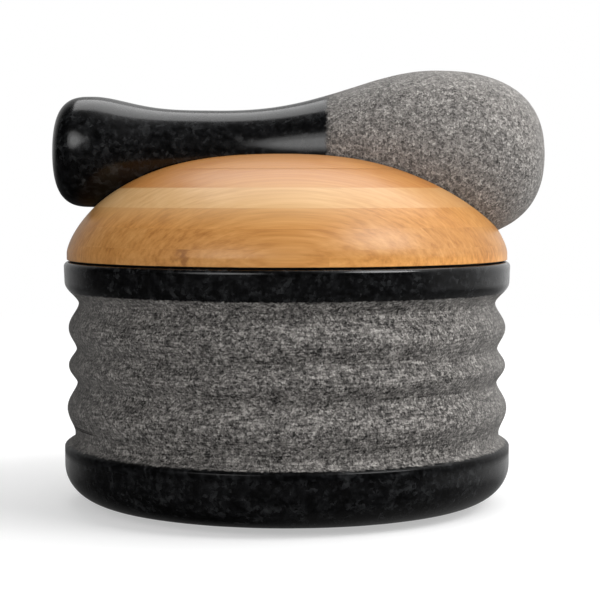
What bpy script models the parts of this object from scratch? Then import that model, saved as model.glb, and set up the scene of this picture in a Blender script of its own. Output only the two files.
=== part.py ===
"""A granite molcajete with its pestle and a laminated bamboo lid, at rest.

The stone bowl has a polished rim band, three rough ribs and a polished foot. A domed lid, turned from
seven glued bamboo boards, plugs its mouth through a silicone seal. The pestle lies along X in a cradle
carved across the dome, which it can be lifted straight out of.

Metres, +Z up. The origin is on the floor, on the bowl's axis. Heights that start with the rim are
counted from the rim's top face, which is RIM_Z above the floor.
"""

import math

import bmesh
import bpy
from mathutils import Matrix

# Clearances between pieces that rest on each other or are glued together
GLUE_LINE = 0.0001
REST_GAP = 0.0003

# Non-slip pad glued under the foot
PAD_RADIUS = 0.048
PAD_THICKNESS = 0.0015
PAD_EDGE = 0.0004
PAD_STEPS = 48

# Mortar: (depth below the rim, radius) for the turning points of its outer wall
RIM_RADIUS = 0.0760
RIM_EDGE = 0.0017
BAND_FOOT = (0.0068, 0.0758)
GROOVES = ((0.0142, 0.0711), (0.0296, 0.0719), (0.0411, 0.0717), (0.0579, 0.0725))
RIB_CRESTS = ((0.0225, 0.0746), (0.0352, 0.0746), (0.0496, 0.0751))
FOOT_CORNER = (0.0626, 0.0760)
RIB_FULLNESS = 0.86
FOOT_FLARE = 1.85
FOOT_ROUNDING = (0.0140, 0.0125)
MORTAR_HEIGHT = 0.0810
MOUTH_RADIUS = 0.0610
MOUTH_DEPTH = 0.012
BOWL_DEPTH = 0.058
BOWL_SQUARENESS = 2.2
MORTAR_STEPS = 64

FOOT_Z = PAD_THICKNESS + GLUE_LINE
RIM_Z = FOOT_Z + MORTAR_HEIGHT

# Lid: the dome is (r / LID_RADIUS) ** DOME_FLATNESS + (height / DOME_HEIGHT) ** DOME_SHOULDER = 1, with
# its height counted from DOME_BASE above the rim
LID_RADIUS = 0.0750
LID_SEAT = 0.0009
LID_EDGE = 0.0005
DOME_BASE = 0.0030
DOME_HEIGHT = 0.0334
DOME_FLATNESS = 2.9
DOME_SHOULDER = 1.45
BOARD_COUNT = 7
BOARD_THICKNESS = 0.0063
TOP_JOINT = 0.0310
SPLIT_BOARDS_FROM = 6
PALE_BOARD = 5
PLUG_RADIUS = 0.0587
PLUG_SHOULDER_RADIUS = 0.0596
PLUG_SHOULDER_HEIGHT = 0.0011
PLUG_CHAMFER = 0.0005
LID_STEPS = 64

# Seal: a flange between rim and lid, and a skirt with two lips in the mouth
SEAL_FIT = 0.00015
SEAL_FLANGE_RADIUS = 0.0741
SEAL_SKIRT_RADIUS = 0.0600
SEAL_LIP_RADIUS = 0.0607
SEAL_LIPS = (0.0016, 0.0039)
SEAL_LIP_HALF_HEIGHT = 0.0004
SEAL_STEPS = 64

# Pestle: distances run along its axis from the end of the grip
PESTLE_LENGTH = 0.1672
GRIP_RADIUS = 0.0188
GRIP_FULL_AT = 0.0134
GRIP_SQUARENESS = 3.0
NECK_RADIUS = 0.0145
NECK_AT = 0.0533
GRIP_FLARE = 1.7
HEAD_RADIUS = 0.0288
HEAD_FULL_AT = 0.1298
HEAD_FLARE = 1.3
HEAD_SQUARENESS = 2.5
PESTLE_STEPS = 40

# How the pestle lies: its axis crosses the bowl's axis, a little head down, in a cradle that is wider
PESTLE_START = -0.0796
PESTLE_AXIS_HEIGHT = 0.0364
PESTLE_TILT = math.radians(0.54)
CRADLE_SIDE_GAP = 0.0010
CRADLE_STEPS = 24


def clear_scene():
    for obj in list(bpy.data.objects):
        bpy.data.objects.remove(obj, do_unlink=True)


def new_collection(name):
    collection = bpy.data.collections.new(name)
    bpy.context.scene.collection.children.link(collection)
    return collection


def new_material(name, colour, roughness, metallic=0.0):
    material = bpy.data.materials.new(name)
    material.use_nodes = True
    shader = material.node_tree.nodes["Principled BSDF"]
    shader.inputs["Base Color"].default_value = (*colour, 1.0)
    shader.inputs["Roughness"].default_value = roughness
    shader.inputs["Metallic"].default_value = metallic
    material.diffuse_color = (*colour, 1.0)
    return material


def ease(u):
    """Goes from 0 to 1 as u does, level at both ends."""
    return (1 - math.cos(math.pi * u)) / 2


def arc(centre, radii, start, end, points):
    """Points on an ellipse round centre, from the angle start to end in degrees."""
    angles = [math.radians(start + (end - start) * i / (points - 1)) for i in range(points)]
    return [(centre[0] + radii[0] * math.cos(a), centre[1] + radii[1] * math.sin(a)) for a in angles]


def mortar_ribs(points_per_slope):
    """The outer wall from the foot of the rim band, over the ribs, to the foot's upper corner."""
    turns = [BAND_FOOT, GROOVES[0]]
    for crest, groove in zip(RIB_CRESTS, GROOVES[1:]):
        turns += [crest, groove]
    turns.append(FOOT_CORNER)
    points = []
    for (depth_a, radius_a), (depth_b, radius_b) in zip(turns, turns[1:]):
        flare = FOOT_FLARE if (depth_b, radius_b) == FOOT_CORNER else RIB_FULLNESS
        low = min(radius_a, radius_b)
        for i in range(points_per_slope):
            u = i / points_per_slope
            up_the_slope = u if radius_b > radius_a else 1 - u
            radius = low + abs(radius_b - radius_a) * ease(up_the_slope**flare)
            points.append((radius, RIM_Z - depth_a - (depth_b - depth_a) * u))
    points.append((FOOT_CORNER[1], RIM_Z - FOOT_CORNER[0]))
    return points


def mortar_bowl(points):
    """The inside, from the middle of the floor up to the foot of the straight mouth."""
    power = 2 / BOWL_SQUARENESS
    hollow = BOWL_DEPTH - MOUTH_DEPTH
    angles = [math.pi / 2 * i / points for i in range(points + 1)]
    return [
        (MOUTH_RADIUS * math.sin(a) ** power, RIM_Z - MOUTH_DEPTH - hollow * math.cos(a) ** power)
        for a in angles
    ]


def mortar_profile():
    rim_z = RIM_Z - RIM_EDGE
    profile = mortar_bowl(points=8)
    profile[0] = (0.0, profile[0][1])
    profile += arc((MOUTH_RADIUS + RIM_EDGE, rim_z), (RIM_EDGE, RIM_EDGE), 180, 90, 3)
    profile += arc((RIM_RADIUS - RIM_EDGE, rim_z), (RIM_EDGE, RIM_EDGE), 90, 0, 3)
    profile += mortar_ribs(points_per_slope=4)
    foot_centre = (FOOT_CORNER[1] - FOOT_ROUNDING[0], FOOT_Z + FOOT_ROUNDING[1])
    profile += arc(foot_centre, FOOT_ROUNDING, 0, -90, 6)
    profile.append((0.0, FOOT_Z))
    return profile


def dome_points(low, high, points):
    """(radius, height above the rim) on the dome, from height high down to height low."""

    def angle_at(height):
        share = min(1.0, max(0.0, (height - DOME_BASE) / DOME_HEIGHT))
        return math.acos(share ** (DOME_SHOULDER / 2))

    first, last = angle_at(high), angle_at(low)
    angles = [first + (last - first) * i / (points - 1) for i in range(points)]
    return [
        (
            LID_RADIUS * math.sin(a) ** (2 / DOME_FLATNESS),
            DOME_BASE + DOME_HEIGHT * max(0.0, math.cos(a)) ** (2 / DOME_SHOULDER),
        )
        for a in angles
    ]


def board_joint(number):
    """Height above the rim of the glue line on top of board number, counting boards from 1 upwards."""
    return TOP_JOINT - (BOARD_COUNT - 1 - number) * BOARD_THICKNESS


def plug_board_profile():
    """Board 1, the plug's lower part, with the shoulder that keeps the seal on."""
    top, bottom = board_joint(1) - GLUE_LINE / 2, board_joint(0)
    shoulder = bottom + PLUG_SHOULDER_HEIGHT
    return [
        (0.0, top),
        (PLUG_RADIUS, top),
        (PLUG_RADIUS, shoulder),
        (PLUG_SHOULDER_RADIUS, shoulder),
        (PLUG_SHOULDER_RADIUS, bottom + PLUG_CHAMFER),
        (PLUG_SHOULDER_RADIUS - PLUG_CHAMFER, bottom),
        (0.0, bottom),
    ]


def seat_board_profile():
    """Board 2, which carries the seat on the rim and the plug's upper part."""
    top, bottom = board_joint(2) - GLUE_LINE / 2, board_joint(1) + GLUE_LINE / 2
    return [
        (0.0, top),
        *dome_points(DOME_BASE, top, 3),
        *arc((LID_RADIUS - LID_EDGE, LID_SEAT + LID_EDGE), (LID_EDGE, LID_EDGE), 0, -90, 3),
        (PLUG_RADIUS, LID_SEAT),
        (PLUG_RADIUS, bottom),
        (0.0, bottom),
    ]


def dome_board_profile(number):
    """One of the boards above the seat."""
    bottom = board_joint(number - 1) + GLUE_LINE / 2
    if number == BOARD_COUNT:
        return [*dome_points(bottom, DOME_BASE + DOME_HEIGHT, 5), (0.0, bottom)]
    top = board_joint(number) - GLUE_LINE / 2
    return [(0.0, top), *dome_points(bottom, top, 3), (0.0, bottom)]


def seal_profile():
    """An L in section, as a closed loop: the flange lies on the rim and the skirt hangs in the mouth."""
    inner = PLUG_RADIUS + SEAL_FIT
    flange_top, flange_bottom = LID_SEAT - GLUE_LINE, GLUE_LINE
    skirt_bottom = board_joint(0) + PLUG_SHOULDER_HEIGHT + GLUE_LINE
    profile = [
        (inner, flange_top),
        (SEAL_FLANGE_RADIUS, flange_top),
        (SEAL_FLANGE_RADIUS, flange_bottom),
        (SEAL_SKIRT_RADIUS, flange_bottom),
    ]
    for depth in SEAL_LIPS:
        profile += [
            (SEAL_SKIRT_RADIUS, -depth + SEAL_LIP_HALF_HEIGHT),
            (SEAL_LIP_RADIUS, -depth),
            (SEAL_SKIRT_RADIUS, -depth - SEAL_LIP_HALF_HEIGHT),
        ]
    profile += [(SEAL_SKIRT_RADIUS, skirt_bottom), (inner, skirt_bottom), (inner, flange_top)]
    return profile


def pestle_profile():
    """(radius, distance from the grip's end), from the middle of the grip's end to the head's tip."""
    points = []
    grip_power, head_power = 2 / GRIP_SQUARENESS, 2 / HEAD_SQUARENESS
    grip_points, flare_points, head_points = 6, 7, 9
    for i in range(grip_points):
        a = math.pi / 2 * i / grip_points
        points.append((GRIP_RADIUS * math.sin(a) ** grip_power, GRIP_FULL_AT * (1 - math.cos(a) ** grip_power)))
    for i in range(flare_points):
        u = i / flare_points
        radius = NECK_RADIUS + (GRIP_RADIUS - NECK_RADIUS) * ease((1 - u) ** GRIP_FLARE)
        points.append((radius, GRIP_FULL_AT + (NECK_AT - GRIP_FULL_AT) * u))
    for i in range(flare_points):
        u = i / flare_points
        radius = NECK_RADIUS + (HEAD_RADIUS - NECK_RADIUS) * ease(u**HEAD_FLARE)
        points.append((radius, NECK_AT + (HEAD_FULL_AT - NECK_AT) * u))
    for i in range(head_points + 1):
        a = math.pi / 2 * i / head_points
        reach = (PESTLE_LENGTH - HEAD_FULL_AT) * math.sin(a) ** head_power
        points.append((HEAD_RADIUS * max(0.0, math.cos(a)) ** head_power, HEAD_FULL_AT + reach))
    points[0] = (0.0, points[0][1])
    points[-1] = (0.0, points[-1][1])
    return points


def polyline_mesh(name, profile):
    """The profile as edges in the XZ plane, (radius, height) for (x, z)."""
    mesh = bpy.data.meshes.new(name)
    bm = bmesh.new()
    vertices = [bm.verts.new((radius, 0.0, height)) for radius, height in profile]
    for a, b in zip(vertices, vertices[1:]):
        bm.edges.new((a, b))
    bmesh.ops.remove_doubles(bm, verts=bm.verts, dist=1e-7)
    bm.to_mesh(mesh)
    bm.free()
    return mesh


def turned(name, profile, steps, material, collection):
    """An object turned round Z from a profile that runs down its outer side."""
    obj = bpy.data.objects.new(name, polyline_mesh(name, profile))
    collection.objects.link(obj)
    screw = obj.modifiers.new("Turn", "SCREW")
    screw.axis = "Z"
    screw.angle = math.tau
    screw.steps = screw.render_steps = steps
    screw.use_merge_vertices = True
    screw.merge_threshold = 1e-6
    screw.use_smooth_shade = True
    obj.data.materials.append(material)
    return obj


def lifted(profile, height):
    return [(radius, z + height) for radius, z in profile]


def cutter(obj):
    obj.hide_render = True
    obj.display_type = "WIRE"
    return obj


def cradle_cutter(collection):
    """The pestle's lower half, widened by the side gap and closed by a flat face through its axis.

    It sits higher than the pestle, which clears the floor of the cradle by REST_GAP only. Its flat face
    is above the dome, so the cradle is open upwards.
    """
    profile = pestle_profile()
    start, end = profile[0][1] - CRADLE_SIDE_GAP, profile[-1][1] + CRADLE_SIDE_GAP
    outline = [(0.0, start), *((radius + CRADLE_SIDE_GAP, along) for radius, along in profile), (0.0, end)]
    bm = bmesh.new()
    vertices = [bm.verts.new((PESTLE_START + along, -radius, 0.0)) for radius, along in outline]
    edges = [bm.edges.new(pair) for pair in zip(vertices, vertices[1:])]
    bmesh.ops.spin(
        bm,
        geom=vertices + edges,
        cent=(0.0, 0.0, 0.0),
        axis=(1.0, 0.0, 0.0),
        angle=math.pi,
        steps=CRADLE_STEPS,
    )
    bmesh.ops.remove_doubles(bm, verts=bm.verts, dist=1e-6)
    bmesh.ops.holes_fill(bm, edges=[edge for edge in bm.edges if edge.is_boundary])
    bmesh.ops.recalc_face_normals(bm, faces=bm.faces)
    mesh = bpy.data.meshes.new("cradle_cutter")
    bm.to_mesh(mesh)
    bm.free()
    obj = bpy.data.objects.new("cradle_cutter", mesh)
    obj.location = (0.0, 0.0, RIM_Z + PESTLE_AXIS_HEIGHT + CRADLE_SIDE_GAP - REST_GAP)
    obj.rotation_euler = (0.0, PESTLE_TILT, 0.0)
    collection.objects.link(obj)
    return cutter(obj)


def half_space(name, side, collection):
    """A box over the whole lid on one side of the XZ plane: side is -1 for the front, 1 for the rear."""
    length = 4 * LID_RADIUS
    bm = bmesh.new()
    place = Matrix.Translation((0.0, side * length / 2, RIM_Z)) @ Matrix.Scale(length, 4)
    bmesh.ops.create_cube(bm, size=1.0, matrix=place)
    mesh = bpy.data.meshes.new(name)
    bm.to_mesh(mesh)
    bm.free()
    obj = bpy.data.objects.new(name, mesh)
    collection.objects.link(obj)
    return cutter(obj)


def add_boolean(obj, operation, other):
    modifier = obj.modifiers.new(operation.title(), "BOOLEAN")
    modifier.operation = operation
    modifier.solver = "EXACT"
    modifier.object = other


def parent_keeping_place(child, parent):
    child.parent = parent
    child.matrix_parent_inverse = parent.matrix_world.inverted()


def empty(name, location, collection):
    obj = bpy.data.objects.new(name, None)
    obj.location = location
    collection.objects.link(obj)
    bpy.context.view_layer.update()
    return obj


def make_mortar(collection, stone):
    turned("mortar", mortar_profile(), MORTAR_STEPS, stone, collection)


def make_pad(collection, rubber):
    bm = bmesh.new()
    bmesh.ops.create_cone(
        bm,
        cap_ends=True,
        segments=PAD_STEPS,
        radius1=PAD_RADIUS,
        radius2=PAD_RADIUS,
        depth=PAD_THICKNESS,
    )
    mesh = bpy.data.meshes.new("foot_pad")
    bm.to_mesh(mesh)
    bm.free()
    pad = bpy.data.objects.new("foot_pad", mesh)
    pad.location = (0.0, 0.0, PAD_THICKNESS / 2)
    collection.objects.link(pad)
    bevel = pad.modifiers.new("Edge", "BEVEL")
    bevel.width = PAD_EDGE
    bevel.segments = 1
    bevel.limit_method = "ANGLE"
    pad.data.materials.append(rubber)


def make_lid(collection, cutters, dark_bamboo, pale_bamboo, rubber):
    """The seven boards and the seal, all parented to one empty on the bowl's axis."""
    carrier = empty("lid_carrier", (0.0, 0.0, RIM_Z), collection)
    cradle = cradle_cutter(cutters)
    halves = {
        "front": half_space("front_half_cutter", -1, cutters),
        "rear": half_space("rear_half_cutter", 1, cutters),
    }
    profiles = {1: plug_board_profile(), 2: seat_board_profile()}
    pieces = []
    for number in range(1, BOARD_COUNT + 1):
        profile = lifted(profiles.get(number) or dome_board_profile(number), RIM_Z)
        sides = halves if number >= SPLIT_BOARDS_FROM else {None: None}
        for side, half in sides.items():
            name = f"lid_board_{number}" + (f"_{side}" if side else "")
            bamboo = pale_bamboo if number == PALE_BOARD else dark_bamboo
            board = turned(name, profile, LID_STEPS, bamboo, collection)
            if number in profiles:
                pieces.append(board)
                continue
            add_boolean(board, "DIFFERENCE", cradle)
            if half:
                add_boolean(board, "INTERSECT", half)
            pieces.append(board)
    pieces.append(turned("lid_seal", lifted(seal_profile(), RIM_Z), SEAL_STEPS, rubber, collection))
    for piece in pieces:
        parent_keeping_place(piece, carrier)
    return carrier


def make_pestle(collection, stone, carrier):
    """The pestle is turned round Z and laid along X, grip to the left, with its origin on its axis."""
    middle = PESTLE_LENGTH / 2
    profile = [(radius, middle - along) for radius, along in pestle_profile()]
    pestle = turned("pestle", profile, PESTLE_STEPS, stone, collection)
    out = PESTLE_START + middle
    height = RIM_Z + PESTLE_AXIS_HEIGHT - out * math.sin(PESTLE_TILT)
    pestle.location = (out * math.cos(PESTLE_TILT), 0.0, height)
    pestle.rotation_euler = (0.0, PESTLE_TILT - math.pi / 2, 0.0)
    parent_keeping_place(pestle, carrier)


def main():
    clear_scene()
    collection = new_collection("molcajete")
    cutters = new_collection("cutters")
    stone = new_material("granite", (0.13, 0.125, 0.12), 0.6)
    rubber = new_material("black_silicone", (0.012, 0.012, 0.012), 0.5)
    dark_bamboo = new_material("bamboo_amber", (0.55, 0.27, 0.09), 0.35)
    pale_bamboo = new_material("bamboo_honey", (0.76, 0.48, 0.22), 0.35)
    make_mortar(collection, stone)
    make_pad(collection, rubber)
    carrier = make_lid(collection, cutters, dark_bamboo, pale_bamboo, rubber)
    make_pestle(collection, stone, carrier)


main()
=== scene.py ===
"""Looks of the granite molcajete: fine turned stone, a lacquered bamboo lid and soft studio light.

Every CAD node is replaced by a finely made piece of the same size in the same place. Metres, +Z up, in
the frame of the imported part: the bowl's axis is Z and the pestle lies along X with its head at +X.
Heights and outer sizes come from the CAD boxes; the shapes between them have the part's own lengths.
"""
import math

import bmesh
import bpy
import numpy as np
from mathutils import Matrix, Vector, noise


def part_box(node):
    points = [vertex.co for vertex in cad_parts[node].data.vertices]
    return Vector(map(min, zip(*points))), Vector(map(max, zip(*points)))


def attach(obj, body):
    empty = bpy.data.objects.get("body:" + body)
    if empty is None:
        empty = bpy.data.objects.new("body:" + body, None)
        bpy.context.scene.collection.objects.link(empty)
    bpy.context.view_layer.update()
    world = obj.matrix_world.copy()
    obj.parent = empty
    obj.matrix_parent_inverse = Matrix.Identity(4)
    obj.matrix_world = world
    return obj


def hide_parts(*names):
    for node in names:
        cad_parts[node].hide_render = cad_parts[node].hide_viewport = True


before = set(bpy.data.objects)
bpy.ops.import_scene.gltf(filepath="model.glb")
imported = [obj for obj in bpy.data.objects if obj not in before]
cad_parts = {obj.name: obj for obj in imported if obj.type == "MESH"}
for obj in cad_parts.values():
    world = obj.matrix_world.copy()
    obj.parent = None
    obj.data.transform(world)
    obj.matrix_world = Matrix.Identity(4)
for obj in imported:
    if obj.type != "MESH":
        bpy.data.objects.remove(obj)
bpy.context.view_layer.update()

# Places from the frame
FOOT_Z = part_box("mortar")[0].z
RIM_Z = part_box("mortar")[1].z
RIM_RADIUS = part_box("mortar")[1].x
LID_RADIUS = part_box("lid_board_2")[1].x
PAD_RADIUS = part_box("foot_pad")[1].x
PAD_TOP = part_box("foot_pad")[1].z

# Mortar: (depth below the rim, radius) for the turning points of its outer wall
RIM_EDGE = 0.0017
BAND_FOOT = (0.0068, 0.0758)
GROOVES = ((0.0142, 0.0711), (0.0296, 0.0719), (0.0411, 0.0717), (0.0579, 0.0725))
RIB_CRESTS = ((0.0225, 0.0746), (0.0352, 0.0746), (0.0496, 0.0751))
FOOT_CORNER = (0.0626, RIM_RADIUS)
RIB_FULLNESS = 0.86
FOOT_FLARE = 1.85
FOOT_ROUNDING = (0.0140, 0.0125)
MOUTH_RADIUS = 0.0610
MOUTH_DEPTH = 0.012
BOWL_DEPTH = 0.058
BOWL_SQUARENESS = 2.2
POLISH_DEPTH = 0.0101
FOOT_POLISH_DEPTH = 0.0615
GROOVE_SHADE_DEPTH = 0.0550
MORTAR_STEPS = 288

# Lid
LID_SEAT = 0.0009
LID_EDGE = 0.0002
LID_LIP_DROP = 0.00035
LID_LIP_INNER = 0.0743
DOME_BASE = 0.0030
DOME_HEIGHT = 0.0334
LID_CREST = RIM_Z + DOME_BASE + DOME_HEIGHT
DOME_FLATNESS = 2.9
DOME_SHOULDER = 1.45
BOARD_COUNT = 7
PLUG_BOARD = 1
EDGE_BOARD = 2
PALE_BOARD = 5
SPLIT_BOARDS_FROM = 6
BOARD_GAP = 0.000002
PLUG_RADIUS = 0.0587
PLUG_SHOULDER_RADIUS = 0.0596
PLUG_SHOULDER_HEIGHT = 0.0011
PLUG_CHAMFER = 0.0005
LID_STEPS = 288

# Seal
SEAL_FIT = 0.00015
SEAL_FLANGE_RADIUS = 0.0741
SEAL_SKIRT_RADIUS = 0.0600
SEAL_LIP_RADIUS = 0.0607
SEAL_LIPS = (0.0016, 0.0039)
SEAL_LIP_HALF_HEIGHT = 0.0004
SEAL_GAP = 0.0001
SEAL_STEPS = 256

# Pestle: distances run along its axis from the end of the grip
PESTLE_LENGTH = 0.1672
GRIP_RADIUS = 0.0188
GRIP_FULL_AT = 0.0134
GRIP_SQUARENESS = 3.0
NECK_RADIUS = 0.0145
NECK_AT = 0.0533
GRIP_FLARE = 1.7
HEAD_RADIUS = 0.0288
HEAD_FULL_AT = 0.1298
HEAD_FLARE = 1.3
HEAD_SQUARENESS = 2.5
PESTLE_START = -0.0796
PESTLE_AXIS_HEIGHT = 0.0364
PESTLE_TILT = math.radians(0.54)
PESTLE_PLACE = (0.0, 0.0, RIM_Z + PESTLE_AXIS_HEIGHT)
POLISH_END = 0.0131
PESTLE_STEPS = 192

# Cradle: the pestle's bed, whose lip is eased outwards
CRADLE_SIDE_GAP = 0.0010
REST_GAP = 0.0003
CRADLE_REACH = 0.0765
LIP_EASE = 0.0005
LIP_CURVE = 0.0005

# Bamboo: strips lie side by side in each board; tones run from pale to dark
STRIP_WIDTH = 0.0215
STRIP_SHIFT = 0.0047
KNOTTED_BOARD = 2
KNOT_HALF_WIDTH = 0.0026
KNOT_COLOUR = (0.24, 0.085, 0.022)
BAMBOO_TONES = {
    "top": ((0.59, 0.275, 0.078), (0.52, 0.215, 0.050), (0.43, 0.158, 0.031)),
    "pale": ((0.74, 0.475, 0.225), (0.67, 0.395, 0.165), (0.58, 0.320, 0.118)),
    "low": ((0.67, 0.335, 0.104), (0.54, 0.240, 0.060), (0.36, 0.137, 0.028)),
}
PALE_END_TINT = (0.90, 0.77, 0.64)

# Granite: stops of the colours of the hammered and the polished stone, and the dust and painted sheen
# seen at an angle
HAMMERED_STOPS = (
    (0.26, (0.010, 0.0095, 0.009)),
    (0.42, (0.078, 0.073, 0.069)),
    (0.58, (0.178, 0.168, 0.158)),
    (0.76, (0.400, 0.381, 0.358)),
)
POLISHED_STOPS = (
    (0.38, (0.0008, 0.0008, 0.0009)),
    (0.50, (0.0030, 0.0031, 0.0035)),
    (0.60, (0.0100, 0.0105, 0.0113)),
    (0.74, (0.0300, 0.0310, 0.0320)),
)
DUST_AND_SHEEN_COLOUR = (0.19, 0.185, 0.178)

# Relief of the rough stone
TOOLING_DEPTH = 0.00010
TOOLING_WAVE = 190.0
ROUGH_SINK = 0.00003

# How much finer the tool marks are along each axis
TURNED_ROUND_Z = (190.0, 190.0, 1600.0)
TURNED_ROUND_X = (1600.0, 190.0, 190.0)

# Camera: from the bowl's axis, and above the rim
CAMERA_DISTANCE = 0.6143
CAMERA_RISE = 0.02286
CAMERA_PITCH = math.radians(3.4)
CAMERA_LENS = 107.5
CAMERA_SHIFT = 0.0217


# Shapes


def ease(u):
    """Goes from 0 to 1 as u does, level at both ends."""
    return (1 - np.cos(np.pi * u)) / 2


def smooth_step(x, low, high):
    t = min(1.0, max(0.0, (x - low) / (high - low)))
    return t * t * (3 - 2 * t)


def line(a, b, parts):
    """Points from a towards b, without b."""
    return [(a[0] + (b[0] - a[0]) * i / parts, a[1] + (b[1] - a[1]) * i / parts) for i in range(parts)]


def arc(centre, radii, start, end, parts):
    """Points on an ellipse round centre, from the angle start to end in degrees."""
    angles = [math.radians(start + (end - start) * i / parts) for i in range(parts + 1)]
    return [(centre[0] + radii[0] * math.cos(a), centre[1] + radii[1] * math.sin(a)) for a in angles]


def turned(name, profile, steps, closed=False, sharp=35):
    """A mesh turned round Z from (radius, z) points that run down its outer side."""
    rings, vertices = [], []
    for radius, z in profile:
        first = len(vertices)
        if radius < 1e-9:
            vertices.append((0.0, 0.0, z))
            rings.append([first] * steps)
            continue
        for i in range(steps):
            angle = math.tau * i / steps
            vertices.append((radius * math.cos(angle), radius * math.sin(angle), z))
        rings.append(list(range(first, first + steps)))
    if closed:
        rings.append(rings[0])
    faces = []
    for upper, lower in zip(rings, rings[1:]):
        for i in range(steps):
            j = (i + 1) % steps
            corners = (lower[i], lower[j], upper[j], upper[i])
            faces.append(tuple(dict.fromkeys(corners)))
    faces = [face for face in faces if len(face) > 2]
    mesh = bpy.data.meshes.new(name)
    mesh.from_pydata(vertices, [], faces)
    finish_mesh(mesh, sharp)
    return mesh


def finish_mesh(mesh, sharp=35):
    mesh.validate()
    mesh.update()
    mesh.shade_smooth()
    mesh.set_sharp_from_angle(angle=math.radians(sharp))


def put(name, mesh, material, body, slot, *nodes):
    """A visible piece that stands for the CAD nodes and rides on their body."""
    piece = bpy.data.objects.new(name, mesh)
    bpy.context.scene.collection.objects.link(piece)
    mesh.materials.clear()
    mesh.materials.append(material)
    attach(piece, body)
    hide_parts(*nodes)
    return piece


def press(mesh, depth_at):
    """Moves each vertex inwards along its normal by depth_at(point)."""
    moves = [vertex.co - vertex.normal * depth_at(vertex.co) for vertex in mesh.vertices]
    for vertex, place in zip(mesh.vertices, moves):
        vertex.co = place
    mesh.update()


def tooling(point):
    """0 to TOOLING_DEPTH: the uneven depth that hammering leaves in the stone."""
    waves = noise.noise(point * TOOLING_WAVE) + 0.5 * noise.noise(point * TOOLING_WAVE * 2.3)
    return TOOLING_DEPTH * (0.5 + waves / 3)


# Mortar


def rib_points(parts):
    """The outer wall from the foot of the rim band, over the ribs, to the foot's upper corner."""
    turns = [BAND_FOOT, GROOVES[0]]
    for crest, groove in zip(RIB_CRESTS, GROOVES[1:]):
        turns += [crest, groove]
    turns.append(FOOT_CORNER)
    points = []
    for (depth_a, radius_a), (depth_b, radius_b) in zip(turns, turns[1:]):
        flare = FOOT_FLARE if (depth_b, radius_b) == FOOT_CORNER else RIB_FULLNESS
        low = min(radius_a, radius_b)
        for i in range(parts):
            u = i / parts
            up_the_slope = u if radius_b > radius_a else 1 - u
            radius = low + abs(radius_b - radius_a) * ease(up_the_slope**flare)
            points.append((radius, RIM_Z - depth_a - (depth_b - depth_a) * u))
    return points


def mortar_profile():
    hollow = BOWL_DEPTH - MOUTH_DEPTH
    power = 2 / BOWL_SQUARENESS
    profile = []
    for i in range(64):
        a = math.pi / 2 * i / 64
        radius = MOUTH_RADIUS * math.sin(a) ** power
        profile.append((radius, RIM_Z - MOUTH_DEPTH - hollow * math.cos(a) ** power))
    edge = RIM_Z - RIM_EDGE
    inner = arc((MOUTH_RADIUS + RIM_EDGE, edge), (RIM_EDGE, RIM_EDGE), 180, 90, 8)
    outer = arc((RIM_RADIUS - RIM_EDGE, edge), (RIM_EDGE, RIM_EDGE), 90, 0, 8)
    profile += line((MOUTH_RADIUS, RIM_Z - MOUTH_DEPTH), inner[0], 10)
    profile += inner[:-1]
    profile += line(inner[-1], outer[0], 8)
    profile += outer[:-1]
    profile += line(outer[-1], (BAND_FOOT[1], RIM_Z - BAND_FOOT[0]), 8)
    profile += rib_points(parts=14)
    foot_centre = (FOOT_CORNER[1] - FOOT_ROUNDING[0], FOOT_Z + FOOT_ROUNDING[1])
    foot = arc(foot_centre, FOOT_ROUNDING, 0, -90, 18)
    profile += line((FOOT_CORNER[1], RIM_Z - FOOT_CORNER[0]), foot[0], 6)
    profile += foot
    profile += line(foot[-1], (0.0, FOOT_Z), 12)[1:]
    profile.append((0.0, FOOT_Z))
    return profile


def make_mortar(material):
    mesh = turned("mortar", mortar_profile(), MORTAR_STEPS, sharp=60)
    foot_top = RIM_Z - FOOT_POLISH_DEPTH
    polish_foot = RIM_Z - POLISH_DEPTH

    def depth_at(point):
        radius = math.hypot(point.x, point.y)
        below_band = 1 - smooth_step(point.z, polish_foot - 0.0008, polish_foot)
        above_foot = smooth_step(point.z, foot_top, foot_top + 0.0008)
        outside = smooth_step(radius, MOUTH_RADIUS + 0.004, MOUTH_RADIUS + 0.006)
        inside = (1 - outside) * smooth_step(RIM_Z - point.z, RIM_EDGE, RIM_EDGE + 0.002)
        return (below_band * above_foot * outside + inside) * (ROUGH_SINK + tooling(point))

    press(mesh, depth_at)
    put("mortar_stone", mesh, material, "bowl", "granite", "mortar")


# Pestle


def pestle_profile(grip_parts, flare_parts, head_parts):
    """(radius, distance from the grip's end), from the grip's end to the head's tip."""
    points = []
    grip_power, head_power = 2 / GRIP_SQUARENESS, 2 / HEAD_SQUARENESS
    for i in range(grip_parts):
        a = math.pi / 2 * i / grip_parts
        reach = GRIP_FULL_AT * (1 - math.cos(a) ** grip_power)
        points.append((GRIP_RADIUS * math.sin(a) ** grip_power, reach))
    for i in range(flare_parts):
        u = i / flare_parts
        radius = NECK_RADIUS + (GRIP_RADIUS - NECK_RADIUS) * ease((1 - u) ** GRIP_FLARE)
        points.append((radius, GRIP_FULL_AT + (NECK_AT - GRIP_FULL_AT) * u))
    for i in range(flare_parts):
        u = i / flare_parts
        radius = NECK_RADIUS + (HEAD_RADIUS - NECK_RADIUS) * ease(u**HEAD_FLARE)
        points.append((radius, NECK_AT + (HEAD_FULL_AT - NECK_AT) * u))
    for i in range(head_parts + 1):
        a = math.pi / 2 * i / head_parts
        reach = (PESTLE_LENGTH - HEAD_FULL_AT) * math.sin(a) ** head_power
        points.append((HEAD_RADIUS * max(0.0, math.cos(a)) ** head_power, HEAD_FULL_AT + reach))
    points[0] = (0.0, points[0][1])
    points[-1] = (0.0, points[-1][1])
    return points


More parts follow.
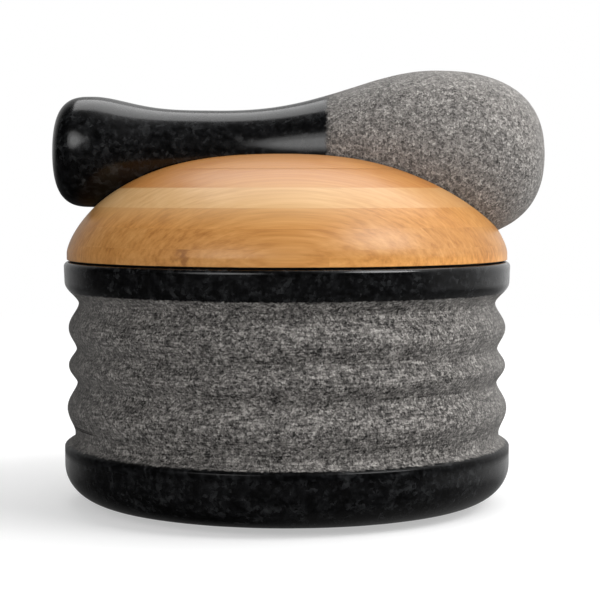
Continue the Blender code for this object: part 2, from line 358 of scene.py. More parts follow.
def make_pestle(material):
    """Turned and worked along X, then tipped and raised to its place on the lid."""
    middle = PESTLE_LENGTH / 2
    profile = [(radius, middle - along) for radius, along in pestle_profile(28, 48, 44)]
    mesh = turned("pestle", profile, PESTLE_STEPS)
    lay = Matrix.Translation((PESTLE_START + middle, 0.0, 0.0)) @ Matrix.Rotation(-math.pi / 2, 4, "Y")
    mesh.transform(lay)
    mesh.update()

    def depth_at(point):
        return smooth_step(point.x, POLISH_END, POLISH_END + 0.0008) * (ROUGH_SINK + tooling(point))

    press(mesh, depth_at)
    mesh.transform(Matrix.Translation(PESTLE_PLACE) @ Matrix.Rotation(PESTLE_TILT, 4, "Y"))
    mesh.update()
    put("pestle_stone", mesh, material, "pestle", "granite", "pestle")


# Lid


def dome_points(low, high, parts):
    """(radius, z) on the dome from z high down to z low."""

    def angle_at(z):
        share = min(1.0, max(0.0, (z - RIM_Z - DOME_BASE) / DOME_HEIGHT))
        return math.acos(share ** (DOME_SHOULDER / 2))

    first, last = angle_at(high), angle_at(low)
    points = []
    for i in range(parts + 1):
        a = first + (last - first) * i / parts
        radius = LID_RADIUS * math.sin(a) ** (2 / DOME_FLATNESS)
        rise = DOME_HEIGHT * max(0.0, math.cos(a)) ** (2 / DOME_SHOULDER)
        points.append((radius, RIM_Z + DOME_BASE + rise))
    return points


def dome_height(x, y):
    """Height of the dome's surface over a point of the XY plane, or 0 outside the lid."""
    share = (math.hypot(x, y) / LID_RADIUS) ** DOME_FLATNESS
    if share >= 1:
        return 0.0
    return RIM_Z + DOME_BASE + DOME_HEIGHT * (1 - share) ** (1 / DOME_SHOULDER)


def board_names(number):
    name = f"lid_board_{number}"
    return [name + "_front", name + "_rear"] if number >= SPLIT_BOARDS_FROM else [name]


def board_joint(number):
    """Height of the glue line on top of a board, or of the plug's underside for 0."""
    if number == 0:
        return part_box("lid_board_1")[0].z
    above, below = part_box(board_names(number + 1)[0])[0].z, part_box(board_names(number)[0])[1].z
    return (above + below) / 2


def board_profile(number):
    bottom = board_joint(number - 1) + BOARD_GAP * (number > PLUG_BOARD)
    top = LID_CREST if number == BOARD_COUNT else board_joint(number) - BOARD_GAP
    if number == PLUG_BOARD:
        shoulder = bottom + PLUG_SHOULDER_HEIGHT
        outline = [
            (PLUG_RADIUS, top),
            (PLUG_RADIUS, shoulder),
            (PLUG_SHOULDER_RADIUS, shoulder),
            *arc(
                (PLUG_SHOULDER_RADIUS - PLUG_CHAMFER, bottom + PLUG_CHAMFER),
                (PLUG_CHAMFER, PLUG_CHAMFER), 0, -90, 4,
            ),
        ]
    elif number == EDGE_BOARD:
        seat = RIM_Z + LID_SEAT
        lip = seat - LID_LIP_DROP
        outline = [
            *dome_points(RIM_Z + DOME_BASE, top, 6),
            *arc((LID_RADIUS - LID_EDGE, lip + LID_EDGE), (LID_EDGE, LID_EDGE), 0, -90, 4),
            (LID_LIP_INNER, lip),
            (LID_LIP_INNER, seat),
            (PLUG_RADIUS, seat),
            (PLUG_RADIUS, bottom),
        ]
    else:
        outline = dome_points(bottom, top, 24 if number == BOARD_COUNT else 9)
    flat_top = [] if number == BOARD_COUNT else line((0.0, top), outline[0], 4)
    return flat_top + outline + line(outline[-1], (0.0, bottom), 4)[1:] + [(0.0, bottom)]


def cradle_section(along, radius, reach):
    """Half the cradle's section in its own frame: (y, z) from its floor to above its lip.

    reach is the height of the section's top. From LIP_EASE short of the dome, the wall curves out.
    """
    raise_by = RIM_Z + PESTLE_AXIS_HEIGHT + CRADLE_SIDE_GAP - REST_GAP - along * math.sin(PESTLE_TILT)
    lip = math.pi / 2
    for i in range(400):
        a = math.pi / 2 * i / 400
        y, z = radius * math.sin(a), raise_by - radius * math.cos(a)
        if z > dome_height(along, y):
            lip = a
            break
    bend = max(0.02, lip - LIP_EASE / radius)
    points = [(radius * math.sin(bend * i / 24), -radius * math.cos(bend * i / 24)) for i in range(24)]
    for i in range(7):
        s = 2.2 * LIP_EASE * i / 6
        a = bend + s / radius
        points.append((radius * math.sin(a) + s * s / (2 * LIP_CURVE), -radius * math.cos(a)))
    points.append((points[-1][0] + 0.001, reach))
    return points


def cradle_cutter():
    """A solid whose underside is the cradle, longer than the lid is wide."""
    profile = pestle_profile(28, 48, 44)
    where = [PESTLE_START + along for _, along in profile]
    widths = [radius for radius, _ in profile]
    rings, vertices = [], []
    stations = np.linspace(-CRADLE_REACH, CRADLE_REACH, 181)
    for along in stations:
        radius = float(np.interp(along, where, widths)) + CRADLE_SIDE_GAP
        half = cradle_section(along, radius, reach=0.012)
        section = [(-y, z) for y, z in reversed(half[1:])] + half
        rings.append(range(len(vertices), len(vertices) + len(section)))
        vertices += [(float(along), y, z) for y, z in section]
    faces = []
    for here, ahead in zip(rings, rings[1:]):
        for i in range(len(here)):
            j = (i + 1) % len(here)
            faces.append((here[i], ahead[i], ahead[j], here[j]))
    faces += [tuple(rings[0]), tuple(reversed(rings[-1]))]
    mesh = bpy.data.meshes.new("cradle_cutter")
    mesh.from_pydata(vertices, [], faces)
    obj = bpy.data.objects.new("cradle_cutter", mesh)
    obj.location = (0.0, 0.0, RIM_Z + PESTLE_AXIS_HEIGHT + CRADLE_SIDE_GAP - REST_GAP)
    obj.rotation_euler = (0.0, PESTLE_TILT, 0.0)
    bpy.context.scene.collection.objects.link(obj)
    bm = bmesh.new()
    bm.from_mesh(mesh)
    bmesh.ops.recalc_face_normals(bm, faces=bm.faces)
    bm.to_mesh(mesh)
    bm.free()
    return obj


def cut_mesh(mesh, cutter):
    """The mesh with the cutter taken away, as a new mesh."""
    blank = bpy.data.objects.new("blank", mesh)
    bpy.context.scene.collection.objects.link(blank)
    modifier = blank.modifiers.new("Cradle", "BOOLEAN")
    modifier.operation = "DIFFERENCE"
    modifier.solver = "EXACT"
    modifier.object = cutter
    graph = bpy.context.evaluated_depsgraph_get()
    result = bpy.data.meshes.new_from_object(blank.evaluated_get(graph))
    bpy.data.objects.remove(blank)
    bm = bmesh.new()
    bm.from_mesh(result)
    bmesh.ops.dissolve_degenerate(bm, dist=1e-7, edges=bm.edges)
    many_sided = [face for face in bm.faces if len(face.verts) > 4]
    bmesh.ops.triangulate(bm, faces=many_sided)
    bm.to_mesh(result)
    bm.free()
    return result


def half_of(mesh, name, side):
    """A copy of what lies on one side of the XZ plane: side is -1 for the front, 1 for the rear."""
    half = mesh.copy()
    half.name = name
    bm = bmesh.new()
    bm.from_mesh(half)
    beyond = [vertex for vertex in bm.verts if vertex.co.y * side < 0]
    bmesh.ops.delete(bm, geom=beyond, context="VERTS")
    bm.to_mesh(half)
    bm.free()
    return half


def make_lid(materials):
    cutter = cradle_cutter()
    for number in range(1, BOARD_COUNT + 1):
        slot = "bamboo_honey" if number == PALE_BOARD else "bamboo_amber"
        mesh = turned(f"board_{number}", board_profile(number), LID_STEPS)
        names = board_names(number)
        if number > EDGE_BOARD:
            mesh = cut_mesh(mesh, cutter)
        meshes = [mesh]
        if len(names) == 2:
            meshes = [half_of(mesh, names[0], -1), half_of(mesh, names[1], 1)]
        for name, part in zip(names, meshes):
            finish_mesh(part, sharp=30)
            put(name + "_wood", part, materials[number], "lid", slot, name)
    bpy.data.objects.remove(cutter)


def seal_profile():
    inner = PLUG_RADIUS + SEAL_FIT
    top, bottom = RIM_Z + LID_SEAT - SEAL_GAP, RIM_Z + SEAL_GAP
    middle, half = (top + bottom) / 2, (top - bottom) / 2
    skirt_bottom = board_joint(0) + PLUG_SHOULDER_HEIGHT + SEAL_GAP
    profile = [(inner, top), *line((inner + 0.001, top), (SEAL_FLANGE_RADIUS - half, top), 3)]
    profile += arc((SEAL_FLANGE_RADIUS - half, middle), (half, half), 90, -90, 10)
    profile += arc((SEAL_SKIRT_RADIUS + 0.0003, bottom - 0.0003), (0.0003, 0.0003), 90, 180, 4)
    for depth in SEAL_LIPS:
        reach = SEAL_LIP_RADIUS - SEAL_SKIRT_RADIUS
        lip_height = RIM_Z - depth
        profile += [
            (SEAL_SKIRT_RADIUS, lip_height + SEAL_LIP_HALF_HEIGHT),
            (SEAL_SKIRT_RADIUS + 0.4 * reach, lip_height + 0.45 * SEAL_LIP_HALF_HEIGHT),
            *arc((SEAL_LIP_RADIUS - 0.00012, lip_height), (0.00012, 0.00012), 60, -60, 4),
            (SEAL_SKIRT_RADIUS + 0.4 * reach, lip_height - 0.45 * SEAL_LIP_HALF_HEIGHT),
            (SEAL_SKIRT_RADIUS, lip_height - SEAL_LIP_HALF_HEIGHT),
        ]
    profile += [(SEAL_SKIRT_RADIUS, skirt_bottom), (inner, skirt_bottom)]
    return profile


def make_seal(material):
    mesh = turned("seal", seal_profile(), SEAL_STEPS, closed=True)
    put("seal_ring", mesh, material, "seal", "black_silicone", "lid_seal")


def make_pad(material):
    edge = 0.0004
    outline = [
        *arc((PAD_RADIUS - edge, PAD_TOP - edge), (edge, edge), 90, 0, 5),
        *arc((PAD_RADIUS - edge, edge), (edge, edge), 0, -90, 5),
    ]
    profile = line((0.0, PAD_TOP), outline[0], 8) + outline
    profile += line(outline[-1], (0.0, 0.0), 8)[1:] + [(0.0, 0.0)]
    mesh = turned("pad", profile, 192)
    put("foot_pad_disc", mesh, material, "bowl", "black_silicone", "foot_pad")


# Materials


class Shader:
    """One material's node tree, with short calls for the nodes used here."""

    def __init__(self, name):
        self.material = bpy.data.materials.new(name)
        self.material.use_nodes = True
        self.tree = self.material.node_tree
        self.surface = self.tree.nodes["Principled BSDF"]
        self.point = self.add("ShaderNodeTexCoord").outputs["Object"]

    @classmethod
    def for_tree(cls, tree):
        shader = cls.__new__(cls)
        shader.tree = tree
        return shader

    def add(self, kind, inputs=None, **settings):
        node = self.tree.nodes.new(kind)
        for key, value in settings.items():
            setattr(node, key, value)
        for key, value in (inputs or {}).items():
            self.set(node.inputs[key], value)
        return node

    def set(self, socket, value):
        if isinstance(value, bpy.types.NodeSocket):
            self.tree.links.new(value, socket)
        else:
            socket.default_value = value

    def finish(self, **inputs):
        for key, value in inputs.items():
            self.set(self.surface.inputs[key.replace("_", " ")], value)
        return self.material

    def math(self, operation, *values, clamp=False):
        node = self.add("ShaderNodeMath", operation=operation, use_clamp=clamp)
        for socket, value in zip(node.inputs, values):
            self.set(socket, value)
        return node.outputs[0]

    def vector(self, operation, *values):
        node = self.add("ShaderNodeVectorMath", operation=operation)
        for socket, value in zip(node.inputs, values):
            self.set(socket, value)
        return node.outputs[0]

    def xyz(self, vector=None):
        return self.add("ShaderNodeSeparateXYZ", {0: vector or self.point}).outputs

    def scaled(self, vector, factor):
        node = self.add("ShaderNodeVectorMath", {0: vector, "Scale": factor}, operation="SCALE")
        return node.outputs[0]

    def combine(self, x, y, z):
        return self.add("ShaderNodeCombineXYZ", {0: x, 1: y, 2: z}).outputs[0]

    def stretch(self, x, y, z, vector=None):
        return self.vector("MULTIPLY", vector or self.point, (x, y, z))

    def noise(self, vector, scale=1.0, detail=2.0, roughness=0.5, colour=False):
        inputs = {"Vector": vector, "Scale": scale, "Detail": detail, "Roughness": roughness}
        return self.add("ShaderNodeTexNoise", inputs).outputs[1 if colour else 0]

    def cells(self, vector, scale):
        """A random value for each grain, and the distance from the grain's middle."""
        node = self.add("ShaderNodeTexVoronoi", {"Vector": vector, "Scale": scale})
        value = self.add("ShaderNodeSeparateColor", {0: node.outputs["Color"]}).outputs[0]
        return value, node.outputs["Distance"]

    def remap(self, value, low, high, to_low=0.0, to_high=1.0, smooth=False):
        inputs = {
            "Value": value, "From Min": low, "From Max": high,
            "To Min": to_low, "To Max": to_high,
        }
        kind = "SMOOTHSTEP" if smooth else "LINEAR"
        return self.add("ShaderNodeMapRange", inputs, interpolation_type=kind).outputs[0]

    def ramp(self, value, stops):
        node = self.add("ShaderNodeValToRGB", {0: value})
        elements = node.color_ramp.elements
        while len(elements) < len(stops):
            elements.new(1.0)
        for element, (place, colour) in zip(elements, stops):
            element.position = place
            element.color = (*colour, 1.0)
        return node.outputs[0]

    def mix(self, factor, a, b):
        node = self.add("ShaderNodeMix", {0: factor}, data_type="RGBA")
        self.set(node.inputs[6], a if isinstance(a, bpy.types.NodeSocket) else (*a, 1.0))
        self.set(node.inputs[7], b if isinstance(b, bpy.types.NodeSocket) else (*b, 1.0))
        return node.outputs[2]

    def mix_values(self, factor, a, b):
        return self.add("ShaderNodeMix", {0: factor, 2: a, 3: b}).outputs[0]

    def bump(self, height, distance, strength):
        inputs = {"Height": height, "Distance": distance, "Strength": strength}
        return self.add("ShaderNodeBump", inputs).outputs[0]


def lit(colour, light):
    """The colour, brighter by the factor light."""
    return tuple(part * light for part in colour)


def granite(name, looks, light, contrast, streaks, turning, place=(0.0, 0.0, 0.0), tilt=0.0):
    """Black granite, hammered to grey, or polished where looks[0](shader) is 1.

    looks[1](shader) scales the hammered stone's brightness from place to place, and looks[2](shader)
    the polish. light and contrast are those of the hammered stone's grains, and streaks is the share of
    tool marks in it, drawn out as turning says. Points are read in the axes of a piece that was tipped
    by tilt and moved to place.
    """
    polished_at, shade_at, gloss_at = looks
    s = Shader(name)
    lie = {"Vector": s.point, "Location": place, "Rotation": (0.0, tilt, 0.0)}
    s.point = s.add("ShaderNodeMapping", lie, vector_type="TEXTURE").outputs[0]
    polished = polished_at(s)
    warp = s.vector("SUBTRACT", s.noise(s.point, 1100.0, 1.0, colour=True), (0.5, 0.5, 0.5))
    point = s.vector("ADD", s.point, s.scaled(warp, 0.0008))
    grain, grain_edge = s.cells(point, 1500.0)
    crystal, _ = s.cells(point, 800.0)
    fleck = s.noise(s.point, 1750.0, 2.0, 0.6)
    patch = s.noise(s.point, 520.0, 2.0, 0.5)
    level = s.noise(s.stretch(*turning), 1.0, 2.0, 0.6)
    cloud = s.noise(s.stretch(70.0, 70.0, 240.0), 1.0, 3.0, 0.55)

    mixed = s.math("MULTIPLY", s.math("SUBTRACT", grain, 0.5), 0.26)
    shares = (
        (fleck, 0.52), (patch, 0.22), (level, 0.85 * streaks), (cloud, 0.35 * streaks), (crystal, 0.10),
    )
    for part, share in shares:
        mixed = s.math("ADD", mixed, s.math("MULTIPLY", s.math("SUBTRACT", part, 0.5), share))
    mixed = s.math("ADD", s.math("MULTIPLY", mixed, contrast), 0.5)
    rough_colour = s.ramp(mixed, [(stop, lit(colour, light)) for stop, colour in HAMMERED_STOPS])
    # Dust and painted sheen: the hammered stone turns paler where it is seen at a grazing angle,
    # towards the outline.
    grazing = s.add("ShaderNodeLayerWeight", {"Blend": 0.5}).outputs["Facing"]
    dust_and_sheen = s.remap(grazing, 0.33, 1.0, 0.0, 0.6)
    rough_colour = s.mix(dust_and_sheen, rough_colour, lit(DUST_AND_SHEEN_COLOUR, light))
    rough_colour = s.scaled(rough_colour, shade_at(s))

    mottle = s.noise(s.point, 300.0, 3.0, 0.55)
    haze = s.noise(s.stretch(60.0, 60.0, 200.0), 1.0, 3.0, 0.6)
    polish_mix = s.math("ADD", s.math("MULTIPLY", mottle, 0.54), s.math("MULTIPLY", crystal, 0.20))
    polish_mix = s.math("ADD", polish_mix, s.math("MULTIPLY", haze, 0.26))
    colour = s.mix(polished, rough_colour, s.ramp(polish_mix, POLISHED_STOPS))
    polish_roughness = s.remap(mottle, 0.3, 0.7, 0.36, 0.50)
    rough_roughness = s.remap(fleck, 0.3, 0.7, 0.95, 0.8)
    roughness = s.mix_values(polished, rough_roughness, polish_roughness)
    pits = s.math("ADD", s.math("MULTIPLY", grain_edge, 0.5), s.math("MULTIPLY", fleck, 1.0))
    pits = s.math("ADD", pits, s.math("MULTIPLY", level, 0.6 * streaks))
    strength = s.remap(polished, 0.0, 1.0, 0.5, 0.010)
    normal = s.bump(pits, 0.00040, strength)
    shine = s.remap(mottle, 0.3, 0.7, 0.13, 0.21)
    return s.finish(
        Base_Color=colour, Roughness=roughness, Normal=normal, IOR=1.50,
        Specular_IOR_Level=s.remap(polished, 0.0, 1.0, 0.35, 0.08),
        Coat_Weight=s.math("MULTIPLY", polished, gloss_at(s)), Coat_Roughness=shine, Coat_IOR=1.58,
    )


def mortar_polish(s):
    """1 on the rim band and on the foot, with an edge that wanders by a grain."""
    x, y, z = s.xyz()
    wander = s.remap(s.noise(s.point, 700.0, 2.0), 0.3, 0.7, -0.00025, 0.00025)
    z = s.math("ADD", z, wander)
    radius = s.math("SQRT", s.math("ADD", s.math("MULTIPLY", x, x), s.math("MULTIPLY", y, y)))
    outside = s.remap(radius, MOUTH_RADIUS + 0.0006, MOUTH_RADIUS + 0.0012)
    foot_top = RIM_Z - FOOT_POLISH_DEPTH
    band = s.remap(z, RIM_Z - POLISH_DEPTH - 0.0002, RIM_Z - POLISH_DEPTH + 0.0002)
    foot = s.remap(z, foot_top + 0.0002, foot_top - 0.0002)
    return s.math("MULTIPLY", outside, s.math("ADD", band, foot, clamp=True))


def mortar_lines_and_painted_light(s):
    """Fine dark tool lines round the wall, darkest in the lowest groove as painted shade; painted light
    from the right makes the stone paler towards +X.
    """
    x, _, z = s.xyz()
    lines = s.noise(s.stretch(16.0, 16.0, 2600.0), 1.0, 1.0)
    here = s.noise(s.stretch(42.0, 42.0, 160.0), 1.0, 1.0)
    # Painted shade: the lines are darkest within 3 mm of the lowest groove.
    off_groove = s.math("ABSOLUTE", s.math("SUBTRACT", z, RIM_Z - GROOVE_SHADE_DEPTH))
    painted_groove_shade = s.remap(off_groove, 0.0030, 0.0, 0.0, 0.45)
    depth = s.math("ADD", painted_groove_shade, s.remap(here, 0.5, 0.75, 0.0, 0.45))
    lines_and_groove_shade = s.math("SUBTRACT", 1.0, s.math("MULTIPLY", s.remap(lines, 0.54, 0.66), depth))
    # Painted light from the right: the stone is paler towards +X.
    return s.math("MULTIPLY", lines_and_groove_shade, s.remap(x, -0.065, 0.065, 0.92, 1.12))


def pestle_shade(s):
    """Darker over the first 4 mm beyond the grip, where the polish still shows."""
    return s.remap(s.xyz()[0], POLISH_END, POLISH_END + 0.0045, 0.66, 1.0)


def mortar_gloss(s):
    """Nearly full, with slow changes, and duller along the foot's upper corner."""
    foot_top = RIM_Z - FOOT_POLISH_DEPTH
    z = s.xyz()[2]
    above = s.remap(z, foot_top - 0.0042, foot_top - 0.0022)
    below = s.remap(z, foot_top + 0.004, foot_top + 0.002)
    corner = s.math("MULTIPLY", above, below)
    worn = s.remap(s.noise(s.point, 90.0, 2.0), 0.3, 0.7, 0.85, 1.0)
    return s.math("MULTIPLY", worn, s.remap(corner, 0.0, 1.0, 1.0, 0.25))


def pestle_gloss(s):
    """The grip's underside is worn dull, and its back a little."""
    z = s.xyz()[2]
    underside = s.remap(z, -0.012, 0.001, 0.10, 1.0)
    return s.math("MULTIPLY", underside, s.remap(z, 0.005, 0.012, 1.0, 0.87))


def pestle_polish(s):
    """1 on the grip, with an edge that wanders by a grain."""
    wander = s.remap(s.noise(s.point, 700.0, 2.0), 0.3, 0.7, -0.0005, 0.0005)
    along = s.math("ADD", s.xyz()[0], wander)
    return s.remap(along, POLISH_END + 0.0005, POLISH_END - 0.0005)


def board_tone_and_painted_light(s, number, colour):
    """The board's colour with its slow changes along the pale board, painted highlights on the boards
    next to it, and painted light at the lowest board's edge.
    """
    x, _, z = s.xyz()
    pale = BAMBOO_TONES["pale"][1]
    if number == PALE_BOARD:
        amber = s.vector("MULTIPLY", colour, PALE_END_TINT)
        return s.mix(s.remap(x, 0.010, 0.045), colour, amber)
    # Painted highlight: below its joint with the pale board, this board turns towards the pale tone, on
    # the left and in the middle.
    if number == PALE_BOARD - 1:
        joint = board_joint(number)
        near = s.remap(z, joint - 0.006, joint, 0.0, 0.55)
        return s.mix(s.math("MULTIPLY", near, s.remap(x, 0.035, 0.005)), colour, pale)
    # Painted highlight: above its joint with the pale board, this board turns towards the pale tone
    # near the middle.
    if number == PALE_BOARD + 1:
        joint = board_joint(PALE_BOARD)
        near = s.remap(z, joint + 0.004, joint, 0.0, 0.45)
        centre = s.remap(s.math("ABSOLUTE", x), 0.030, 0.010)
        return s.mix(s.math("MULTIPLY", near, centre), colour, pale)
    # Painted light: the lowest board is lighter along its bottom edge, more so towards +X.
    if number == EDGE_BOARD:
        edge = s.remap(z, RIM_Z + 0.0042, RIM_Z + 0.0010)
        rise = s.math("MULTIPLY", edge, s.remap(x, -0.035, 0.030, 0.0, 0.40))
        return s.scaled(colour, s.math("ADD", 1.0, rise))
    return colour


def bamboo(number):
    """A board of strips along X. Their fibres are lines along X, and dots and dashes at the ends."""
    s = Shader(f"bamboo_board_{number}")
    seed = 3.7 * number
    x, y, _ = s.xyz()
    strip = s.math("FLOOR", s.math("DIVIDE", s.math("ADD", y, STRIP_SHIFT * number), STRIP_WIDTH))
    chance = s.add("ShaderNodeTexWhiteNoise", {0: s.combine(strip, seed, 0.0)}, noise_dimensions="3D")
    tone, turn = chance.outputs["Value"], chance.outputs["Color"]
    shifted = s.vector("ADD", s.point, s.scaled(turn, 3.0))
    sway = s.noise(s.stretch(14.0, 30.0, 30.0, shifted), 1.0, 2.0, colour=True)
    swayed = s.vector("ADD", shifted, s.scaled(s.vector("SUBTRACT", sway, (0.5, 0.5, 0.5)), 0.0035))
    bundles = s.noise(s.stretch(20.0, 900.0, 380.0, swayed), 1.0, 2.0, 0.5)
    fibres = s.noise(s.stretch(45.0, 2600.0, 1500.0, swayed), 1.0, 2.0, 0.6)
    broad = s.noise(s.stretch(9.0, 70.0, 90.0, swayed), 1.0, 2.0)

    layer = "pale" if number == PALE_BOARD else "top" if number > PALE_BOARD else "low"
    pale, mid, dark = BAMBOO_TONES[layer]
    value = s.math("ADD", s.math("MULTIPLY", bundles, 0.40), s.math("MULTIPLY", fibres, 0.18))
    value = s.math("ADD", value, s.math("MULTIPLY", broad, 0.26))
    colour = s.ramp(value, [(0.25, dark), (0.40, mid), (0.56, pale)])
    colour = s.scaled(colour, s.remap(tone, 0.0, 1.0, 0.95, 1.03))
    colour = board_tone_and_painted_light(s, number, colour)
    knot_at = s.remap(s.add("ShaderNodeSeparateColor", {0: turn}).outputs[1], 0.0, 1.0, -0.055, -0.025)
    knot_sway = s.remap(s.noise(s.stretch(160.0, 420.0, 420.0), 1.0, 3.0), 0.0, 1.0, -0.004, 0.004)
    knot_off = s.math("ABSOLUTE", s.math("SUBTRACT", s.math("ADD", x, knot_sway), knot_at))
    depth = 0.6 if number == KNOTTED_BOARD else 0.0
    knot = s.remap(knot_off, KNOT_HALF_WIDTH, 0.0, 0.0, depth, smooth=True)
    knot = s.math("MULTIPLY", knot, s.remap(bundles, 0.62, 0.42))
    colour = s.mix(knot, colour, KNOT_COLOUR)
    roughness = s.remap(fibres, 0.3, 0.7, 0.36, 0.46)
    grain = s.math("ADD", s.math("MULTIPLY", bundles, 0.7), s.math("MULTIPLY", fibres, 0.3))
    normal = s.bump(grain, 0.00005, 0.3)
    return s.finish(
        Base_Color=colour, Roughness=roughness, Normal=normal,
        Specular_IOR_Level=0.4, Coat_Weight=0.35, Coat_Roughness=0.26,
    )


def silicone():
    s = Shader("silicone_black")
    haze = s.noise(s.point, 260.0, 3.0, 0.6)
    colour = s.ramp(haze, [(0.35, (0.006, 0.006, 0.006)), (0.7, (0.014, 0.014, 0.015))])
    roughness = s.remap(haze, 0.3, 0.7, 0.42, 0.55)
    normal = s.bump(s.noise(s.point, 5200.0, 2.0), 0.00002, 0.4)
    return s.finish(Base_Color=colour, Roughness=roughness, Normal=normal)


def foam():
    s = Shader("pad_foam")
    cell, edge = s.cells(s.point, 1500.0)
    colour = s.ramp(cell, [(0.0, (0.012, 0.012, 0.013)), (1.0, (0.030, 0.030, 0.031))])
    normal = s.bump(edge, 0.00012, 0.7)
    return s.finish(Base_Color=colour, Roughness=0.9, Normal=normal)


# Stage, light and camera


def make_stage():
    """A pale floor that curves up into a backdrop."""
    half_width, front, bend_at, radius, height = 4.0, -3.0, 1.4, 0.8, 3.0
    outline = [(front, 0.0), (bend_at, 0.0)]
    for i in range(1, 25):
        a = math.pi / 2 * i / 24
        outline.append((bend_at + radius * math.sin(a), radius * (1 - math.cos(a))))
    outline.append((bend_at + radius, height))
    bm = bmesh.new()
    left = [bm.verts.new((-half_width, y, z)) for y, z in outline]
    right = [bm.verts.new((half_width, y, z)) for y, z in outline]
    for i in range(len(outline) - 1):
        bm.faces.new((left[i], right[i], right[i + 1], left[i + 1])).smooth = True
    mesh = bpy.data.meshes.new("sweep")
    bm.to_mesh(mesh)
    bm.free()
    sweep = bpy.data.objects.new("sweep", mesh)
    bpy.context.scene.collection.objects.link(sweep)
    mesh.materials.append(sweep_paper())


def mirrored_light(s, direction):
    """What polished stone sees along a direction: dark in front, and wide and bright on the right."""
    x, y, z = s.xyz(direction)
    left = s.remap(y, 0.45, 0.95, 0.0, 0.42)
    right = s.math("ADD", s.remap(y, -0.35, -0.1, 0.0, 0.27), s.remap(y, 0.2, 0.95, 0.0, 0.55))
    side = s.remap(x, -0.15, 0.15)
    level = s.mix_values(side, left, right)
    return s.math("MULTIPLY", level, s.remap(z, -0.30, 0.0, 0.15, 1.0))


def sweep_paper():
    """Fades to white away from the object for the camera, and is dark in front for polished stone."""
    s = Shader("sweep_paper")
    x, y, _ = s.xyz()
    away = s.math("SQRT", s.math("ADD", s.math("MULTIPLY", x, x), s.math("MULTIPLY", y, y)))
    rays = s.add("ShaderNodeLightPath").outputs
    direction = s.scaled(s.add("ShaderNodeNewGeometry").outputs["Incoming"], -1.0)
    seen = s.remap(away, 0.12, 0.52, 0.44, 1.0)
    glow = s.math("MULTIPLY", rays["Is Camera Ray"], seen)
    glow = s.math("ADD", glow, s.math("MULTIPLY", rays["Is Glossy Ray"], mirrored_light(s, direction)))
    shade = s.remap(rays["Is Glossy Ray"], 0.0, 1.0, 0.62, 0.03)
    shade = s.math("MULTIPLY", shade, s.remap(y, 1.0, 0.1, 0.0, 1.0))
    near = s.mix_values(rays["Is Camera Ray"], 1.0, s.remap(away, 0.95, 0.15))
    shade = s.math("MULTIPLY", shade, near)
    colour = s.add("ShaderNodeCombineColor", {0: shade, 1: shade, 2: shade}).outputs[0]
    return s.finish(
        Base_Color=colour, Roughness=1.0, Specular_IOR_Level=0.0,
        Emission_Color=(1.0, 1.0, 1.0, 1.0), Emission_Strength=glow,
    )


def add_light(name, place, target, size, power, shape="RECTANGLE", mirrored=True):
    data = bpy.data.lights.new(name, "AREA")
    data.shape = shape
    data.size, data.size_y = size
    data.energy = power
    light = bpy.data.objects.new(name, data)
    light.location = place
    light.rotation_euler = (Vector(target) - Vector(place)).to_track_quat("-Z", "Y").to_euler()
    light.visible_glossy = mirrored
    bpy.context.scene.collection.objects.link(light)


def around(azimuth, elevation, distance):
    """A place round the object: azimuth 0 is in front, 90 to the right."""
    a, e = math.radians(azimuth), math.radians(elevation)
    flat = distance * math.cos(e)
    return (flat * math.sin(a), -flat * math.cos(a), 0.1 + distance * math.sin(e))


def make_lights():
    """The boxes that polished stone mirrors, and two panels that it does not."""
    target = (0.0, 0.0, 0.10)
    add_light("top_box", (0.13, 0.42, 1.14), target, (1.25, 0.85), 6.8)
    add_light("key_box", around(60, 45, 1.1), target, (0.60, 0.60), 5.6, "ELLIPSE")
    add_light("front_box", around(-33, 23, 1.1), target, (0.78, 0.66), 1.7, "ELLIPSE")
    add_light("front_core", around(-30, 22, 1.08), target, (0.44, 0.36), 0.5, "ELLIPSE")
    add_light("front_panel", around(-5, 30, 1.2), target, (0.8, 0.6), 2.2, mirrored=False)
    add_light("side_panel", around(88, 24, 1.2), target, (0.8, 0.8), 7.4, mirrored=False)
    make_world()


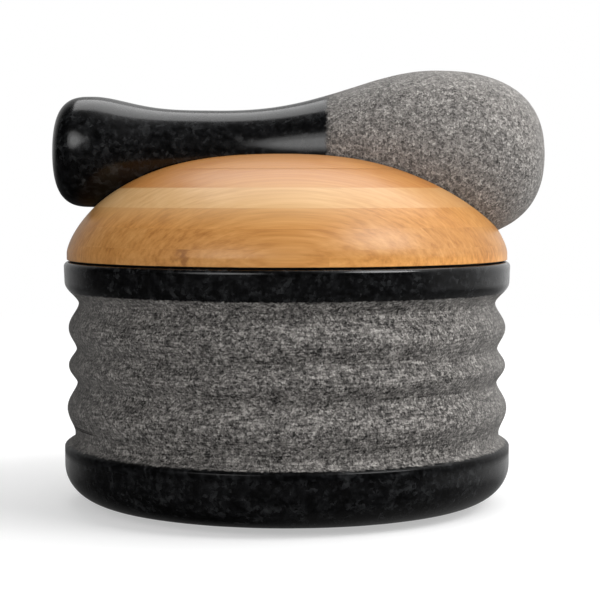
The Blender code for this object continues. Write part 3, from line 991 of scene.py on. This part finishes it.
def make_world():
    """White behind the object and dark in front for mirrored rays; even and dim for the others."""
    world = bpy.data.worlds.new("studio")
    bpy.context.scene.world = world
    world.use_nodes = True
    s = Shader.for_tree(world.node_tree)
    s.point = s.add("ShaderNodeTexCoord").outputs["Generated"]
    mirrored = mirrored_light(s, s.point)
    rays = s.add("ShaderNodeLightPath").outputs
    side = s.remap(s.xyz(s.point)[0], 0.2, 0.9, 0.22, 0.40)
    even = s.mix_values(rays["Is Camera Ray"], side, 1.0)
    strength = s.mix_values(rays["Is Glossy Ray"], even, mirrored)
    s.set(s.tree.nodes["Background"].inputs["Color"], (1.0, 1.0, 1.0, 1.0))
    s.set(s.tree.nodes["Background"].inputs["Strength"], strength)


def make_camera():
    """Stands 0.61 m in front, a little above the rim, and looks slightly down."""
    data = bpy.data.cameras.new("camera")
    data.sensor_width = 36.0
    data.lens = CAMERA_LENS
    data.shift_x = CAMERA_SHIFT
    data.clip_start = 0.01
    camera = bpy.data.objects.new("camera", data)
    camera.location = (0.0, -CAMERA_DISTANCE, RIM_Z + CAMERA_RISE)
    camera.rotation_euler = (math.pi / 2 - CAMERA_PITCH, 0.0, 0.0)
    bpy.context.scene.collection.objects.link(camera)
    bpy.context.scene.camera = camera


def main():
    bpy.context.scene.view_settings.view_transform = "Standard"
    bowl_looks = (mortar_polish, mortar_lines_and_painted_light, mortar_gloss)
    pestle_looks = (pestle_polish, pestle_shade, pestle_gloss)
    bowl_stone = granite(
        "granite_bowl", bowl_looks, light=1.0, contrast=1.12, streaks=0.5, turning=TURNED_ROUND_Z,
    )
    # light=1.6 makes the pestle's hammered head paler than the bowl's wall: partly a paler stone,
    # partly painted light from above.
    pestle_stone = granite(
        "granite_pestle", pestle_looks, light=1.6, contrast=0.84, streaks=0.22, turning=TURNED_ROUND_X,
        place=PESTLE_PLACE, tilt=PESTLE_TILT,
    )
    make_mortar(bowl_stone)
    make_pestle(pestle_stone)
    make_lid({number: bamboo(number) for number in range(1, BOARD_COUNT + 1)})
    make_seal(silicone())
    make_pad(foam())
    make_stage()
    make_lights()
    make_camera()


main()
